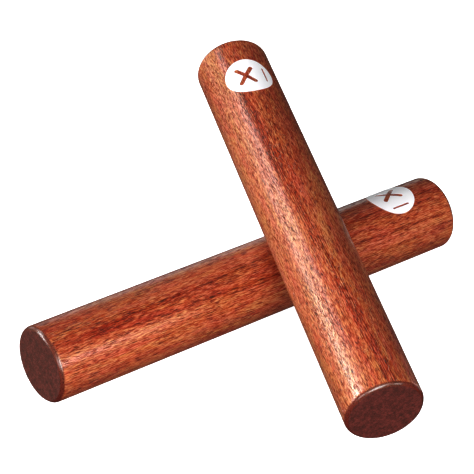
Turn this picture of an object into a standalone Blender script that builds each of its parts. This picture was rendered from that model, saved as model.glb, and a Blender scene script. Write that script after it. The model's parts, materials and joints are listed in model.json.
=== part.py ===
"""A pair of claves: two solid turned hardwood sticks, each with a round maker's label.

The held clave lies on the floor along +X. The striker clave leans across it: its plain end stands on the
floor, it touches the held clave just past its own middle, and its labelled end points up and back.
The origin is on the floor, under the middle of the pair. Everything is in metres, with +Z up.

A stick's own frame has +X along its axis, from the plain end to the labelled end, and +Z through the
middle of its label.
"""

import math

import bmesh
import bpy
from mathutils import Euler, Matrix, Vector

# Driving dimensions of one stick
CLAVE_LENGTH = 0.2032  # 8 in
CLAVE_DIAMETER = 0.03175  # 1 1/4 in
EDGE_RADIUS = 0.0019  # the rounding where the side meets the two flat ends

# How the pair lies
CROSSING_TURN = math.radians(69.7)  # from the held clave's axis to the striker's, seen from above
CROSSING_ON_HELD = 0.0186  # from the held clave's middle towards its labelled end
CROSSING_ON_STRIKER = 0.0070  # from the striker's middle towards its labelled end
CONTACT_GAP = 0.0003  # left between the two sticks where they touch
HELD_ROLL = math.radians(3.0)  # how far each label is turned from the top of its stick
STRIKER_ROLL = math.radians(-2.0)

# The label, an oval film with a pictogram and a line cut out of it, laid out flat:
# x along the stick, y around it, from the label's centre
LABEL_ALONG = 0.0204
LABEL_AROUND = 0.0214
LABEL_THICKNESS = 0.0003
LABEL_GAP = 0.0003  # between the film and the wood
LABEL_FROM_END = 0.0245  # from the label's centre to the labelled end
EMBLEM_LIFT = 0.0014  # the pictogram's centre above the label's
EMBLEM_STICK_LENGTH = 0.0122
EMBLEM_STICK_WIDTH = 0.0019
EMBLEM_STICK_TURN = math.radians(37.0)  # of each of the two crossed sticks, either way from x
LINE_DROP = 0.0071  # the line's centre below the label's
LINE_LENGTH = 0.0088
LINE_WIDTH = 0.0008

# Fineness
STICK_SIDES = 96
EDGE_STEPS = 6
OVAL_POINTS = 72
BAR_END_STEPS = 8

RADIUS = CLAVE_DIAMETER / 2
FACET_TURN = 2 * math.pi / STICK_SIDES
WOOD_COLOUR = (0.36, 0.075, 0.03, 1.0)
LABEL_COLOUR = (0.83, 0.81, 0.82, 1.0)


def clear_scene():
    for obj in list(bpy.data.objects):
        bpy.data.objects.remove(obj, do_unlink=True)


def material(name, colour, roughness):
    made = bpy.data.materials.new(name)
    made.use_nodes = True
    shader = made.node_tree.nodes["Principled BSDF"]
    shader.inputs["Base Color"].default_value = colour
    shader.inputs["Roughness"].default_value = roughness
    shader.inputs["Metallic"].default_value = 0.0
    return made


def object_from(name, bm, finish, parent):
    """A mesh object made from bm, under parent."""
    mesh = bpy.data.meshes.new(name)
    bm.to_mesh(mesh)
    bm.free()
    mesh.materials.append(finish)
    mesh.shade_smooth()
    mesh.set_sharp_from_angle(angle=math.radians(40.0))
    obj = bpy.data.objects.new(name, mesh)
    bpy.context.scene.collection.objects.link(obj)
    obj.parent = parent
    return obj


def frame_empty(name, centre, turn):
    """The empty that places one clave: at the stick's centre, with its +X along the stick."""
    empty = bpy.data.objects.new(name, None)
    bpy.context.scene.collection.objects.link(empty)
    empty.location = centre
    empty.rotation_euler = turn
    return empty


def stick_direction(tilt):
    """The striker's axis when it rises by tilt towards its labelled end."""
    return Vector(
        (
            math.cos(tilt) * math.cos(CROSSING_TURN),
            math.cos(tilt) * math.sin(CROSSING_TURN),
            math.sin(tilt),
        )
    )


def contact_normal(tilt):
    """The direction from the held clave's axis up to the striker's, square to both."""
    return Vector((1, 0, 0)).cross(stick_direction(tilt)).normalized()


def height_over_contact(tilt):
    """How high the striker's centre is when it rests on the held clave."""
    over = (CLAVE_DIAMETER + CONTACT_GAP) * contact_normal(tilt).z
    return RADIUS + over - CROSSING_ON_STRIKER * math.sin(tilt)


def height_over_floor(tilt):
    """How high the striker's centre is when its plain end's rounded edge stands on the floor."""
    along = (CLAVE_LENGTH / 2 - EDGE_RADIUS) * math.sin(tilt)
    return along + (RADIUS - EDGE_RADIUS) * math.cos(tilt) + EDGE_RADIUS


def leaning_tilt():
    """The tilt at which the striker meets the held clave and the floor together, by halving."""
    low, high = 0.0, math.radians(60.0)
    for _ in range(60):
        middle = (low + high) / 2
        if height_over_contact(middle) > height_over_floor(middle):
            low = middle
        else:
            high = middle
    return low


def turned_stick(name, finish, parent):
    """A solid cylinder along X with both end edges rounded."""
    bm = bmesh.new()
    bmesh.ops.create_cone(
        bm,
        cap_ends=True,
        segments=STICK_SIDES,
        radius1=RADIUS,
        radius2=RADIUS,
        depth=CLAVE_LENGTH,
        matrix=Matrix.Rotation(math.pi / 2, 4, "Y"),
    )
    rims = [e for e in bm.edges if abs(e.verts[0].co.x - e.verts[1].co.x) < EDGE_RADIUS]
    bmesh.ops.bevel(
        bm,
        geom=rims,
        offset=EDGE_RADIUS,
        offset_type="OFFSET",
        segments=EDGE_STEPS,
        profile=0.5,
        affect="EDGES",
    )
    return object_from(name, bm, finish, parent)


def oval_outline():
    turns = [2 * math.pi * i / OVAL_POINTS for i in range(OVAL_POINTS)]
    return [
        (LABEL_ALONG / 2 * math.cos(turn), LABEL_AROUND / 2 * math.sin(turn))
        for turn in turns
    ]


def bar_outline(length, width, turn, centre_y):
    """A straight bar with round ends, turned about its middle, which is at (0, centre_y)."""
    points = []
    reach = (length - width) / 2
    for side, start in ((1, -math.pi / 2), (-1, math.pi / 2)):
        for i in range(BAR_END_STEPS + 1):
            round_end = start + math.pi * i / BAR_END_STEPS
            x = side * reach + width / 2 * math.cos(round_end)
            y = width / 2 * math.sin(round_end)
            points.append(
                (
                    x * math.cos(turn) - y * math.sin(turn),
                    x * math.sin(turn) + y * math.cos(turn) + centre_y,
                )
            )
    return points


def prism(name, outline, low, high):
    """A flat plate of that outline, from z = low to z = high, as a helper object."""
    bm = bmesh.new()
    face = bm.faces.new([bm.verts.new((x, y, low)) for x, y in outline])
    face.normal_update()
    sides = bmesh.ops.extrude_face_region(bm, geom=[face])["geom"]
    for vert in sides:
        if isinstance(vert, bmesh.types.BMVert):
            vert.co.z = high
    bmesh.ops.recalc_face_normals(bm, faces=bm.faces)
    mesh = bpy.data.meshes.new(name)
    bm.to_mesh(mesh)
    bm.free()
    obj = bpy.data.objects.new(name, mesh)
    bpy.context.scene.collection.objects.link(obj)
    return obj


def flat_label():
    """The label's flat plate, with the crossed sticks and the line cut through it."""
    plate = prism("label_plate", oval_outline(), 0.0, LABEL_THICKNESS)
    bars = [
        (EMBLEM_STICK_LENGTH, EMBLEM_STICK_WIDTH, EMBLEM_STICK_TURN, EMBLEM_LIFT),
        (EMBLEM_STICK_LENGTH, EMBLEM_STICK_WIDTH, -EMBLEM_STICK_TURN, EMBLEM_LIFT),
        (LINE_LENGTH, LINE_WIDTH, 0.0, -LINE_DROP),
    ]
    cutters = []
    for bar in bars:
        cutter = prism("label_cutter", bar_outline(*bar), -LABEL_THICKNESS, 2 * LABEL_THICKNESS)
        cutters.append(cutter)
        cut = plate.modifiers.new("cut", "BOOLEAN")
        cut.operation = "DIFFERENCE"
        cut.object = cutter
    bpy.context.view_layer.update()
    evaluated = plate.evaluated_get(bpy.context.evaluated_depsgraph_get())
    bm = bmesh.new()
    bm.from_mesh(evaluated.to_mesh())
    for helper in [plate, *cutters]:
        bpy.data.objects.remove(helper, do_unlink=True)
    return bm


def split_at_facets(bm):
    """Cuts the flat label along each line that lies over an edge between two of the stick's facets."""
    facet_width = RADIUS * FACET_TURN
    reach = int(LABEL_AROUND / 2 / facet_width)
    for step in range(-reach, reach + 1):
        bmesh.ops.bisect_plane(
            bm,
            geom=[*bm.verts, *bm.edges, *bm.faces],
            dist=1e-7,
            plane_co=(0, step * facet_width, 0),
            plane_no=(0, 1, 0),
        )


def wrapped(flat):
    """Where a point of the flat label goes once it is laid on the stick's facets."""
    facet, share = divmod(flat.y / RADIUS / FACET_TURN, 1.0)
    radius = RADIUS + LABEL_GAP + flat.z
    corners = [
        Vector((0, radius * math.sin(turn), radius * math.cos(turn)))
        for turn in (facet * FACET_TURN, (facet + 1) * FACET_TURN)
    ]
    on_facet = corners[0].lerp(corners[1], share)
    along = CLAVE_LENGTH / 2 - LABEL_FROM_END + flat.x
    return Vector((along, on_facet.y, on_facet.z))


def label(name, finish, parent):
    bm = flat_label()
    split_at_facets(bm)
    for vert in bm.verts:
        vert.co = wrapped(vert.co)
    bmesh.ops.recalc_face_normals(bm, faces=bm.faces)
    return object_from(name, bm, finish, parent)


def main():
    clear_scene()
    wood = material("stained_hardwood", WOOD_COLOUR, 0.35)
    film = material("white_film", LABEL_COLOUR, 0.3)

    tilt = leaning_tilt()
    along = stick_direction(tilt)
    up_to_striker = (CLAVE_DIAMETER + CONTACT_GAP) * contact_normal(tilt)
    held_to_striker = Vector((CROSSING_ON_HELD, 0, 0)) + up_to_striker
    held_to_striker -= CROSSING_ON_STRIKER * along

    # The striker spans the pair from front to back, so its middle goes over y = 0.
    held_centre = Vector((0, -held_to_striker.y, RADIUS))
    held = frame_empty("held_clave", held_centre, Euler((HELD_ROLL, 0, 0)))
    striker = frame_empty(
        "striker_clave",
        held_centre + held_to_striker,
        Euler((STRIKER_ROLL, -tilt, CROSSING_TURN)),
    )

    turned_stick("held_stick", wood, held)
    label("held_label", film, held)
    turned_stick("striker_stick", wood, striker)
    label("striker_label", film, striker)


main()
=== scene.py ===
"""Two crossed claves: stained, lacquered hardwood sticks with a round white label on each.

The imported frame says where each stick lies. A stick's own frame has +X along its axis, from the plain end
to the labelled end, and +Z through the middle of its label. Lengths are in metres and angles in degrees
unless a name says otherwise.
"""

import json
import math

import bmesh
import bpy
from mathutils import Matrix, Vector, noise

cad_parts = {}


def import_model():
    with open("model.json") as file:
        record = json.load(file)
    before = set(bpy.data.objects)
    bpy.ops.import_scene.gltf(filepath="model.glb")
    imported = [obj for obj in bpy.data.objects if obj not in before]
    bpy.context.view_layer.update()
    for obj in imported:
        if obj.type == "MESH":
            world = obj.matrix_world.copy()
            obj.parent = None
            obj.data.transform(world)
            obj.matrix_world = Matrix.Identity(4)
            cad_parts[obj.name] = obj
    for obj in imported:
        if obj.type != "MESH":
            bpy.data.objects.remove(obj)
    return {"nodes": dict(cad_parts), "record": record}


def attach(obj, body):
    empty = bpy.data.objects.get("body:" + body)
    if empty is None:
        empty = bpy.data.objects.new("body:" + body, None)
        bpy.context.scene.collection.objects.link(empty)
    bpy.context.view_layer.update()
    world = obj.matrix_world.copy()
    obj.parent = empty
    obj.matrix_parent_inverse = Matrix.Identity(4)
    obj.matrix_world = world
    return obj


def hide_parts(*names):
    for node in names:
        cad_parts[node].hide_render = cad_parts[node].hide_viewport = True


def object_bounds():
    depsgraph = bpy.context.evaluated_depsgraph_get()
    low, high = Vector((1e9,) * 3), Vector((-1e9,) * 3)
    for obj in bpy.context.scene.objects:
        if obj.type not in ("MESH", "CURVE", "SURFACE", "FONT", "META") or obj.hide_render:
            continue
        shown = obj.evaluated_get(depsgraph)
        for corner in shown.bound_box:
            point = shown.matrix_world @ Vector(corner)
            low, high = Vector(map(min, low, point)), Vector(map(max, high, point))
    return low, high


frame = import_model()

CAD_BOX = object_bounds()

# One stick
STICK_RADIUS = 0.015875
EDGE_RADIUS = 0.0023
EDGE_TURN = 67  # how far round the edge goes before it meets the flat end at a crisp corner
STICK_SIDES = 192
SIDE_RING_STEP = 0.002
EDGE_STEPS = 12
END_RINGS = 8
CORNER_TURN = 15  # a sharper turn than this between two faces of a stick is a crisp corner
SANDING_DEPTH = 0.00004  # the most that sanding has taken the surface below its full radius
SANDING_WAVES_ALONG = 45  # for each metre of the stick
SANDING_WAVES_AROUND = 2.2

# One label, laid out flat: x along the stick, y around it, from the label's centre
LABEL_ALONG = 0.0204
LABEL_AROUND = 0.0214
LABEL_FROM_END = 0.0245
LABEL_THICKNESS = 0.00012
LABEL_GAP = 0.00003
LABEL_STRIP = 0.0004  # the width of the strips that let it bend round the stick
EMBLEM_LIFT = 0.0014
EMBLEM_STICK_LENGTH = 0.0122
EMBLEM_STICK_WIDTH = 0.0019
EMBLEM_STICK_TURN = 37
LINE_DROP = 0.0071
LINE_LENGTH = 0.0088
LINE_WIDTH = 0.0008

# The dark seams between years of growth: (height in the timber, how much darker)
HELD_SEAMS = ((0.01539, 0.24), (0.0150, 0.18), (0.0118, 0.24), (0.0062, 0.24))
STRIKER_SEAMS = ((0.0080, 0.42), (0.0073, 0.36), (0.0066, 0.32), (0.0058, 0.28))
SEAM_HALF_WIDTH = 0.00022
BAND_DEPTH = 0.0035  # the slightly darker band on the bark's side of each seam
BAND_START = 0.0001
BAND_DARKNESS = 0.05

# Wood
GRAIN_WANDER = 0.0016  # how far the fibres stray sideways
SEAM_WANDER = 0.0008
RINGS_PER_METRE = 1200
RING_SHIFT = 40  # how many rings an offset of 1 m moves along
TONE_BASE = -0.65
PORE_SPREAD = 0.3  # how much wider the pores are in some patches than in others
WOOD_RELIEF = 0.00014  # the depth of the pores in the wood
LACQUER_RELIEF = 0.00008  # what is left of it on the lacquer

# Colours: (value, colour at that value)
SIDE_COLOURS = (
    (0.00, (0.068, 0.002, 0.001)),
    (0.26, (0.228, 0.011, 0.003)),
    (0.50, (0.400, 0.053, 0.018)),
    (0.74, (0.545, 0.146, 0.058)),
    (1.00, (0.670, 0.310, 0.140)),
)
# What the stain multiplies the side's colour by, and what the rounding does as it turns to the end
STAIN_TINTS = ((0.38, (1.0, 0.70, 0.85)), (0.62, (1.0, 1.0, 0.85)))
ROUNDING_TINTS = ((0.45, (0.28, 0.06, 0.10)), (1.0, (1, 1, 1)))
END_COLOURS = (
    (0.36, (0.060, 0.009, 0.010)),
    (0.52, (0.125, 0.019, 0.019)),
    (0.66, (0.225, 0.042, 0.037)),
)
FILM_COLOURS = ((0.3, (0.91, 0.90, 0.93)), (0.7, (0.95, 0.94, 0.96)))
FILM_PAINTED_GLOW = 0.1  # the label's faint glow: painted light that lifts its shaded side
FILM_RELIEF = 0.00001

# Camera
VIEW_AZIMUTH = -36.78
VIEW_ELEVATION = 28.53
VIEW_ROLL = -1.06
VIEW_LENS_MM = 160
VIEW_SENSOR_MM = 36
VIEW_DISTANCE = 0.8458
VIEW_AIM_RIGHT = -0.01356
VIEW_AIM_UP = 0.00036
VIEW_GAMMA = 0.75

# Studio
STUDIO_RADIUS = 4.0
STUDIO_DROP = 0.0001  # from the sticks' lowest point down to the floor
LIGHT_DISTANCE = 1.2
WORLD_STRENGTH = 0.05


# ------------------------------------------------------------------------------------------------
# The frame


def end_centre(name):
    """The middle of a stick's flat end."""
    mount = next(m for m in frame["record"]["mounts"] if m["name"] == name)
    return Vector(mount["pos_m"])


def stick_frame(stick):
    """The matrix from a stick's own frame to the row's, and the stick's length."""
    plain = end_centre(stick + "_plain_end")
    labelled = end_centre(stick + "_labelled_end")
    centre = (plain + labelled) / 2
    along = (labelled - plain).normalized()
    up = (Vector((0, 0, 1)) - along.z * along).normalized()
    aside = up.cross(along)
    label = frame["nodes"][stick + "_label"].data.vertices
    turns = [math.atan2((v.co - centre).dot(aside), (v.co - centre).dot(up)) for v in label]
    turn = (min(turns) + max(turns)) / 2
    label_up = math.cos(turn) * up + math.sin(turn) * aside
    axes = Matrix((along, label_up.cross(along), label_up)).transposed()
    return Matrix.Translation(centre) @ axes.to_4x4(), (labelled - plain).length


# ------------------------------------------------------------------------------------------------
# Shapes


def mesh_object(name, bm, material, sharp=40):
    """A smooth object made from bm, with a crisp edge wherever two faces turn by more than sharp."""
    mesh = bpy.data.meshes.new(name)
    bm.to_mesh(mesh)
    bm.free()
    mesh.materials.append(material)
    mesh.shade_smooth()
    mesh.set_sharp_from_angle(angle=math.radians(sharp))
    obj = bpy.data.objects.new(name, mesh)
    bpy.context.scene.collection.objects.link(obj)
    return obj


def stick_rings(length):
    """(x, radius, end) for each ring, one end to the other: end is 0 on the side and 1 on a flat end."""
    half = length / 2
    edge_turn = math.radians(EDGE_TURN)
    depth = EDGE_RADIUS * math.sin(edge_turn)
    flat = STICK_RADIUS - EDGE_RADIUS * (1 - math.cos(edge_turn))
    end = [(-half, flat * (i + 1) / END_RINGS, 1.0) for i in range(END_RINGS)]
    for i in range(1, EDGE_STEPS + 1):
        turn = edge_turn * (1 - i / EDGE_STEPS)
        x = -half + depth - EDGE_RADIUS * math.sin(turn)
        end.append((x, STICK_RADIUS - EDGE_RADIUS * (1 - math.cos(turn)), math.sin(turn)))
    straight = length - 2 * depth
    steps = round(straight / SIDE_RING_STEP)
    side = [(-straight / 2 + straight * i / steps, STICK_RADIUS, 0.0) for i in range(1, steps)]
    other_end = [(-x, radius, end_share) for x, radius, end_share in reversed(end)]
    return end + side + other_end


def sanded(x, turn, seed):
    """How far sanding has lowered the surface there."""
    across = SANDING_WAVES_AROUND * math.cos(turn)
    up = SANDING_WAVES_AROUND * math.sin(turn) + seed
    wave = noise.noise(Vector((x * SANDING_WAVES_ALONG, across, up)))
    return SANDING_DEPTH * (0.5 + 0.5 * wave)


def grain_frame(ring_turn, slope):
    """The turn from a stick's own frame to its timber's.

    The timber's +X runs along the fibres, at slope degrees to the stick's axis, and its +Z points from
    the tree's centre to the bark.
    """
    about_stick = Matrix.Rotation(math.radians(ring_turn), 3, "X")
    return Matrix.Rotation(math.radians(slope), 3, "Y") @ about_stick


def stick(name, stick_name, material, ring_turn, slope, seed):
    """A stick's closed surface. Each point keeps its place in the timber and its share of end grain."""
    matrix, length = stick_frame(stick_name)
    to_timber = grain_frame(ring_turn, slope)
    bm = bmesh.new()
    grain = bm.verts.layers.float_vector.new("grain")
    end_grain = bm.verts.layers.float.new("end_grain")

    def point(x, radius, turn, end):
        lowered = radius - sanded(x, turn, seed) * radius / STICK_RADIUS
        place = Vector((x, lowered * math.sin(turn), lowered * math.cos(turn)))
        vert = bm.verts.new(matrix @ place)
        vert[grain] = to_timber @ place
        vert[end_grain] = end
        return vert

    turns = [2 * math.pi * i / STICK_SIDES for i in range(STICK_SIDES)]
    rings = []
    for x, radius, end in stick_rings(length):
        rings.append([point(x, radius, turn, end) for turn in turns])
    for ring, following in zip(rings, rings[1:]):
        for i in range(STICK_SIDES):
            j = (i + 1) % STICK_SIDES
            bm.faces.new((ring[i], ring[j], following[j], following[i]))
    for ring, x, order in ((rings[0], -length / 2, -1), (rings[-1], length / 2, 1)):
        middle = point(x, 0.0, 0.0, 1.0)
        for i in range(STICK_SIDES):
            bm.faces.new((middle, ring[i], ring[(i + 1) % STICK_SIDES])[::order])
    bmesh.ops.recalc_face_normals(bm, faces=bm.faces)
    return mesh_object(name, bm, material, sharp=CORNER_TURN)


def oval(width, height, points=120):
    """An oval's outline."""
    turns = [2 * math.pi * i / points for i in range(points)]
    return [(width / 2 * math.cos(t), height / 2 * math.sin(t)) for t in turns]


def round_bar(length, width, turn, centre_y, steps=10):
    """The outline of a bar with round ends, turned about its middle at (0, centre_y)."""
    spin = Matrix.Rotation(math.radians(turn), 2)
    points = []
    for side, start in ((1, -math.pi / 2), (-1, math.pi / 2)):
        for i in range(steps + 1):
            t = start + math.pi * i / steps
            x = side * (length - width) / 2 + width / 2 * math.cos(t)
            points.append(spin @ Vector((x, width / 2 * math.sin(t))) + Vector((0, centre_y)))
    return points


def plate(outline, low, high):
    """A helper object: the outline as a flat plate from z = low to z = high."""
    bm = bmesh.new()
    face = bm.faces.new([bm.verts.new((x, y, low)) for x, y in outline])
    face.normal_update()
    for part in bmesh.ops.extrude_face_region(bm, geom=[face])["geom"]:
        if isinstance(part, bmesh.types.BMVert):
            part.co.z = high
    bmesh.ops.recalc_face_normals(bm, faces=bm.faces)
    mesh = bpy.data.meshes.new("label_helper")
    bm.to_mesh(mesh)
    bm.free()
    obj = bpy.data.objects.new("label_helper", mesh)
    bpy.context.scene.collection.objects.link(obj)
    return obj


def flat_label():
    """The label laid flat, with the two crossed sticks and the line cut through it."""
    film = plate(oval(LABEL_ALONG, LABEL_AROUND), 0.0, LABEL_THICKNESS)
    bars = (
        round_bar(EMBLEM_STICK_LENGTH, EMBLEM_STICK_WIDTH, EMBLEM_STICK_TURN, EMBLEM_LIFT),
        round_bar(EMBLEM_STICK_LENGTH, EMBLEM_STICK_WIDTH, -EMBLEM_STICK_TURN, EMBLEM_LIFT),
        round_bar(LINE_LENGTH, LINE_WIDTH, 0, -LINE_DROP),
    )
    cutters = [plate(bar, -LABEL_THICKNESS, 2 * LABEL_THICKNESS) for bar in bars]
    for cutter in cutters:
        cut = film.modifiers.new("cut", "BOOLEAN")
        cut.operation = "DIFFERENCE"
        cut.object = cutter
    bpy.context.view_layer.update()
    bm = bmesh.new()
    bm.from_mesh(film.evaluated_get(bpy.context.evaluated_depsgraph_get()).to_mesh())
    for helper in (film, *cutters):
        bpy.data.objects.remove(helper, do_unlink=True)
    return bm


def label(name, stick_name, material):
    """A label's thin film, wrapped round its stick, with each point's place in the flat label."""
    matrix, length = stick_frame(stick_name)
    bm = flat_label()
    strips = int(LABEL_AROUND / 2 / LABEL_STRIP)
    for i in range(-strips, strips + 1):
        everything = [*bm.verts, *bm.edges, *bm.faces]
        middle = (0, i * LABEL_STRIP, 0)
        bmesh.ops.bisect_plane(bm, geom=everything, dist=1e-7, plane_co=middle, plane_no=(0, 1, 0))
    flat = bm.verts.layers.float_vector.new("flat")
    for vert in bm.verts:
        vert[flat] = vert.co.copy()
        radius = STICK_RADIUS + LABEL_GAP + vert.co.z
        turn = vert.co.y / STICK_RADIUS
        x = length / 2 - LABEL_FROM_END + vert.co.x
        vert.co = matrix @ Vector((x, radius * math.sin(turn), radius * math.cos(turn)))
    bmesh.ops.recalc_face_normals(bm, faces=bm.faces)
    return mesh_object(name, bm, material)


# ------------------------------------------------------------------------------------------------
# Materials


class Shader:
    """A material's nodes, with a short call for each kind that the materials here use."""

    def __init__(self, name):
        self.material = bpy.data.materials.new(name)
        self.material.use_nodes = True
        self.nodes = self.material.node_tree.nodes
        self.links = self.material.node_tree.links
        self.surface = self.nodes["Principled BSDF"]

    def set(self, node, inputs):
        """Links or sets each input, whichever its value calls for."""
        for socket, value in inputs.items():
            if isinstance(value, bpy.types.NodeSocket):
                self.links.new(value, node.inputs[socket])
            else:
                node.inputs[socket].default_value = value

    def add(self, kind, inputs, output=0, **settings):
        node = self.nodes.new(kind)
        for key, value in settings.items():
            setattr(node, key, value)
        self.set(node, inputs)
        return node.outputs[output]

    def attribute(self, name, output="Vector"):
        return self.add("ShaderNodeAttribute", {}, output, attribute_name=name)

    def math(self, operation, *values):
        return self.add("ShaderNodeMath", dict(enumerate(values)), operation=operation)

    def vector(self, operation, *values, output=0):
        return self.add("ShaderNodeVectorMath", dict(enumerate(values)), output, operation=operation)

    def separate(self, vector):
        node = self.nodes.new("ShaderNodeSeparateXYZ")
        self.set(node, {0: vector})
        return node.outputs

    def noise(self, vector, along, across, detail=2.0, roughness=0.5, output=0):
        """Noise with so many waves a metre along the grain and across it."""
        place = self.vector("MULTIPLY", vector, (along, across, across))
        inputs = {"Vector": place, "Scale": 1.0, "Detail": detail, "Roughness": roughness}
        return self.add("ShaderNodeTexNoise", inputs, output)

    def noise_on_line(self, value, detail):
        inputs = {"W": value, "Scale": 1.0, "Detail": detail, "Roughness": 0.5}
        return self.add("ShaderNodeTexNoise", inputs, noise_dimensions="1D")

    def spots(self, vector, along, across):
        """The distance in cells to the nearest random point, with so many cells a metre."""
        place = self.vector("MULTIPLY", vector, (along, across, across))
        return self.add("ShaderNodeTexVoronoi", {"Vector": place, "Scale": 1.0}, "Distance")

    def ranged(self, value, low, high, to_low=0.0, to_high=1.0):
        """A smooth step from to_low at low to to_high at high."""
        inputs = {0: value, 1: low, 2: high, 3: to_low, 4: to_high}
        return self.add("ShaderNodeMapRange", inputs, interpolation_type="SMOOTHSTEP")

    def ramp(self, value, stops):
        node = self.nodes.new("ShaderNodeValToRGB")
        self.set(node, {0: value})
        ramp = node.color_ramp
        while len(ramp.elements) < len(stops):
            ramp.elements.new(0.5)
        for element, (position, colour) in zip(ramp.elements, stops):
            element.position = position
            element.color = (*colour, 1.0)
        return node.outputs[0]

    def mix(self, share, a, b, blend="MIX"):
        inputs = {0: share, 6: a, 7: b}
        return self.add("ShaderNodeMix", inputs, 2, data_type="RGBA", blend_type=blend)

    def bump(self, height, distance):
        inputs = {"Height": height, "Distance": distance, "Strength": 1.0}
        return self.add("ShaderNodeBump", inputs)


def wandering_grain(s, grain, offset):
    """Each point's place among the wandering fibres, and its height towards the bark."""
    shifted = s.vector("ADD", grain, offset)
    wander = s.noise(shifted, 16, 90, detail=1.0, output="Color")
    wander = s.vector("SUBTRACT", wander, (0.5, 0.5, 0.5))
    place = s.vector("ADD", shifted, s.vector("MULTIPLY", wander, (0, GRAIN_WANDER, GRAIN_WANDER)))
    lifted = s.vector("ADD", grain, s.vector("MULTIPLY", wander, (0, 0, SEAM_WANDER)))
    return place, s.separate(lifted)[2]


def pores(s, place, patches, pore_length):
    """The pores and the longer vessels: 1 in the middle of one and 0 between them."""
    narrowing = s.math("MULTIPLY", s.math("SUBTRACT", 0.5, patches), PORE_SPREAD)
    pore = s.math("ADD", s.spots(place, 1.4 / pore_length, 3400), narrowing)
    vessel = s.math("ADD", s.spots(place, 0.4 / pore_length, 2500), narrowing)
    return s.ranged(pore, 0.24, 0.42, 1.0, 0.0), s.ranged(vessel, 0.13, 0.25, 1.0, 0.0)


def seamed(s, tone, height, patches, seams):
    """The tone with its seams drawn in: a broken dark line at each, and a faint band beyond it."""
    broken = s.ranged(patches, 0.20, 0.48)
    for seam, darkness in seams:
        above = s.math("SUBTRACT", height, seam)
        line = s.ranged(s.math("ABSOLUTE", above), 0.0, SEAM_HALF_WIDTH, 1.0, 0.0)
        fading = s.ranged(above, 0.0, BAND_DEPTH, 1.0, 0.0)
        band = s.math("MULTIPLY", fading, s.ranged(above, -BAND_START, BAND_START))
        tone = s.math("MULTIPLY_ADD", s.math("MULTIPLY", line, broken), -darkness, tone)
        tone = s.math("MULTIPLY_ADD", band, -BAND_DARKNESS, tone)
    return tone


def end_grain_speckle(s, grain):
    """The cut ends of the fibres, with darker and lighter patches."""
    speckle = s.noise(grain, 260, 1100, detail=4.0, roughness=0.9)
    patches = s.noise(grain, 150, 420, detail=2.0)
    return s.math("MULTIPLY_ADD", patches, 0.3, s.math("SUBTRACT", speckle, 0.15))


def wood_colour(s, tone, place, speckle, end):
    """The stained side, its darker rounding and the flat end, from the tone and the speckle."""
    stain = s.noise(place, 35, 260, detail=3.0, roughness=0.7)
    side = s.mix(1.0, s.ramp(tone, SIDE_COLOURS), s.ramp(stain, STAIN_TINTS), "MULTIPLY")
    rounding = s.ranged(end, 0.08, 0.50, 1.0, 0.45)
    side = s.mix(1.0, side, s.ramp(rounding, ROUNDING_TINTS), "MULTIPLY")
    return s.mix(s.ranged(end, 0.93, 0.99), side, s.ramp(speckle, END_COLOURS))


def wood(name, seams, shade_drift, offset, pore_length, contrast):
    """Open-pored hardwood, stained red-brown and lacquered, as a solid that the stick is turned from.

    seams are the heights, towards the bark, of the darkest lines between two years' growth. shade_drift is
    the change of tone for each metre in the timber's own frame, painted shade that darkens one side of the
    stick, and offset picks the piece of timber.
    """
    s = Shader(name)
    grain = s.attribute("grain")
    end = s.attribute("end_grain", "Fac")
    place, height = wandering_grain(s, grain, offset)
    rings = s.math("ADD", s.math("MULTIPLY", height, RINGS_PER_METRE), RING_SHIFT * offset[0])
    patches = s.noise(place, 34, 220, detail=4.0, roughness=0.6)
    fibres = s.noise(place, 300, 2700, detail=2.0, roughness=0.8)
    streaks = s.noise(place, 95, 1500, detail=2.0, roughness=0.6)
    pore, vessel = pores(s, place, patches, pore_length)

    # The tone falls across the timber towards one side of the stick: painted shade for the side the lights
    # leave dark.
    tone = s.math("ADD", s.vector("DOT_PRODUCT", grain, shade_drift, output=1), TONE_BASE)
    for part, share in (
        (s.noise_on_line(rings, detail=3.0), 0.15),
        (s.noise(place, 14, 65, detail=1.0), 0.38),
        (patches, 0.12),
        (fibres, 2.20),
        (s.ranged(streaks, 0.34, 0.50, 1.0, 0.0), -0.18),
        (pore, -0.42),
        (vessel, -0.45),
    ):
        tone = s.math("MULTIPLY_ADD", part, share, tone)
    tone = s.math("MULTIPLY_ADD", s.math("SUBTRACT", tone, 0.5), contrast, 0.5)
    tone = seamed(s, tone, height, patches, seams)
    speckle = end_grain_speckle(s, grain)

    side = s.ranged(end, 0.05, 0.40, 1.0, 0.0)
    relief = s.math("MULTIPLY", s.math("SUBTRACT", s.math("MULTIPLY", fibres, 0.4), pore), side)
    end_relief = s.math("MULTIPLY", s.math("SUBTRACT", 1.0, side), s.math("MULTIPLY", speckle, 0.5))
    relief = s.math("ADD", relief, end_relief)
    dullness = s.math("ADD", s.math("MULTIPLY", pore, 0.5), s.math("MULTIPLY", side, -0.25))
    s.set(
        s.surface,
        {
            "Base Color": wood_colour(s, tone, place, speckle, end),
            "Roughness": s.math("ADD", 0.65, dullness),
            "Specular IOR Level": 0.7,
            "Specular Tint": (0.35, 1.0, 0.65, 1.0),
            "Coat Weight": 1.0,
            "Coat Roughness": 0.17,
            "Coat Normal": s.bump(relief, LACQUER_RELIEF),
            "Normal": s.bump(relief, WOOD_RELIEF),
        },
    )
    return s.material


def film(name):
    """The label's glossy white film, with a faint glow of painted light."""
    s = Shader(name)
    flat = s.attribute("flat")
    clouds = s.noise(flat, 160, 160, detail=3.0)
    weave = s.noise(flat, 3000, 3000, detail=2.0)
    s.set(
        s.surface,
        {
            "Base Color": s.ramp(clouds, FILM_COLOURS),
            "Roughness": s.math("ADD", 0.26, s.math("MULTIPLY", clouds, 0.1)),
            "Normal": s.bump(weave, FILM_RELIEF),
            # The film glows faintly: painted light that brightens the label where it lies in shade.
            "Emission Color": (1.0, 1.0, 1.0, 1.0),
            "Emission Strength": FILM_PAINTED_GLOW,
        },
    )
    return s.material


# ------------------------------------------------------------------------------------------------
# Camera and studio


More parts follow.
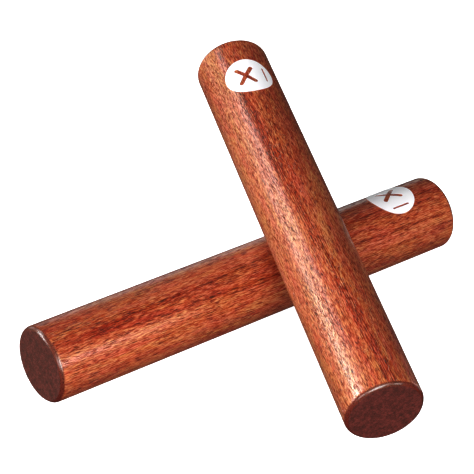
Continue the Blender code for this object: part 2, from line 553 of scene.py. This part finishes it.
def direction(azimuth, elevation):
    """The unit vector towards an azimuth from +X and an elevation."""
    turn = math.radians(azimuth)
    rise = math.radians(elevation)
    return Vector(
        (
            math.cos(turn) * math.cos(rise),
            math.sin(turn) * math.cos(rise),
            math.sin(rise),
        )
    )


def camera():
    """The camera at the photo's angle. A view azimuth of 0 looks along +Y, from the -Y side."""
    back = direction(VIEW_AZIMUTH - 90, VIEW_ELEVATION)
    turn = back.to_track_quat("Z", "Y").to_matrix()
    turn = turn @ Matrix.Rotation(math.radians(VIEW_ROLL), 3, "Z")
    low, high = CAD_BOX
    aim = (low + high) / 2 + turn @ Vector((VIEW_AIM_RIGHT, VIEW_AIM_UP, 0))
    data = bpy.data.cameras.new("camera")
    data.lens = VIEW_LENS_MM
    data.sensor_width = VIEW_SENSOR_MM
    obj = bpy.data.objects.new("camera", data)
    obj.matrix_world = Matrix.Translation(aim + VIEW_DISTANCE * back) @ turn.to_4x4()
    bpy.context.scene.collection.objects.link(obj)
    bpy.context.scene.camera = obj


def softbox(name, azimuth, elevation, size, power):
    """A round light towards (azimuth from +X, elevation) that faces the middle of the pair."""
    data = bpy.data.lights.new(name, "AREA")
    data.shape = "DISK"
    data.size = size
    data.energy = power
    towards = direction(azimuth, elevation)
    low, high = CAD_BOX
    obj = bpy.data.objects.new(name, data)
    obj.location = (low + high) / 2 + towards * LIGHT_DISTANCE
    obj.rotation_euler = towards.to_track_quat("Z", "Y").to_euler()
    bpy.context.scene.collection.objects.link(obj)


def world():
    """A weak white light from all round."""
    made = bpy.data.worlds.new("studio")
    made.use_nodes = True
    background = made.node_tree.nodes["Background"]
    background.inputs["Color"].default_value = (1, 1, 1, 1)
    background.inputs["Strength"].default_value = WORLD_STRENGTH
    bpy.context.scene.world = made


def stage(name, bm, material):
    """Puts a surface round the sticks that only the camera sees, so it doesn't light or shade them."""
    obj = mesh_object(name, bm, material)
    obj.location.z = CAD_BOX[0].z - STUDIO_DROP
    obj.visible_diffuse = False
    obj.visible_glossy = False
    obj.visible_shadow = False


def studio():
    """A white floor, and a white dome that hides its far edge."""
    s = Shader("studio_white")
    s.set(
        s.surface,
        {
            "Base Color": (0.9, 0.9, 0.9, 1.0),
            "Roughness": 0.9,
            "Emission Color": (1.0, 1.0, 1.0, 1.0),
            "Emission Strength": 1.0,
        },
    )
    floor = bmesh.new()
    bmesh.ops.create_grid(floor, x_segments=1, y_segments=1, size=STUDIO_RADIUS)
    stage("floor", floor, s.material)
    dome = bmesh.new()
    bmesh.ops.create_uvsphere(dome, u_segments=48, v_segments=24, radius=STUDIO_RADIUS)
    lower_half = [v for v in dome.verts if v.co.z < -0.001]
    bmesh.ops.delete(dome, geom=lower_half, context="VERTS")
    stage("backdrop", dome, s.material)


def softboxes():
    """The key lights are on the camera's left, the fill is beside the camera, and the rest are weaker."""
    softbox("key", 137, 21, 0.26, 5.2)
    softbox("key_above", 137, 35, 0.25, 1.8)
    softbox("key_beside", 124, 28, 0.3, 1.0)
    softbox("key_high", 114, 45, 0.35, 1.6)
    softbox("key_left", 150, 10, 0.3, 5.0)
    softbox("left", 205, 8, 0.45, 4.2)
    softbox("front", 240, 15, 0.6, 14.0)
    softbox("front_right", 255, 30, 0.5, 4.6)
    softbox("right", 285, 15, 0.4, 2.9)
    softbox("back", 100, 10, 0.4, 0.7)
    softbox("far", 60, 6, 0.5, 0.5)
    softbox("far_right", 0, -8, 0.6, 1.1)


def clave(stick_name, ring_turn, slope, seams, shade_drift, offset, pore_length, contrast, seed):
    """One stick and its label, in place of the CAD's."""
    finish = wood(stick_name + "_wood", seams, shade_drift, offset, pore_length, contrast)
    piece = stick(stick_name + "_wood", stick_name, finish, ring_turn, slope, seed)
    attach(piece, stick_name)
    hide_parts(stick_name + "_stick")
    piece = label(stick_name + "_film", stick_name, film(stick_name + "_film"))
    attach(piece, stick_name)
    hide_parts(stick_name + "_label")


def main():
    clave(
        "held",
        ring_turn=-39,
        slope=-0.4,
        seams=HELD_SEAMS,
        shade_drift=(0, 0, 0),
        offset=(0.52, 0.03, 0.0),
        pore_length=0.006,
        contrast=1.0,
        seed=3.1,
    )
    clave(
        "striker",
        ring_turn=-50,
        slope=-2.5,
        seams=STRIKER_SEAMS,
        # This darkens the striker towards one side, as painted shade.
        shade_drift=(0, 0, -5),
        offset=(0.83, 0.02, 0.0),
        pore_length=0.004,
        contrast=1.12,
        seed=8.6,
    )
    camera()
    studio()
    world()
    softboxes()
    bpy.context.scene.view_settings.view_transform = "Standard"
    bpy.context.scene.view_settings.gamma = VIEW_GAMMA


main()
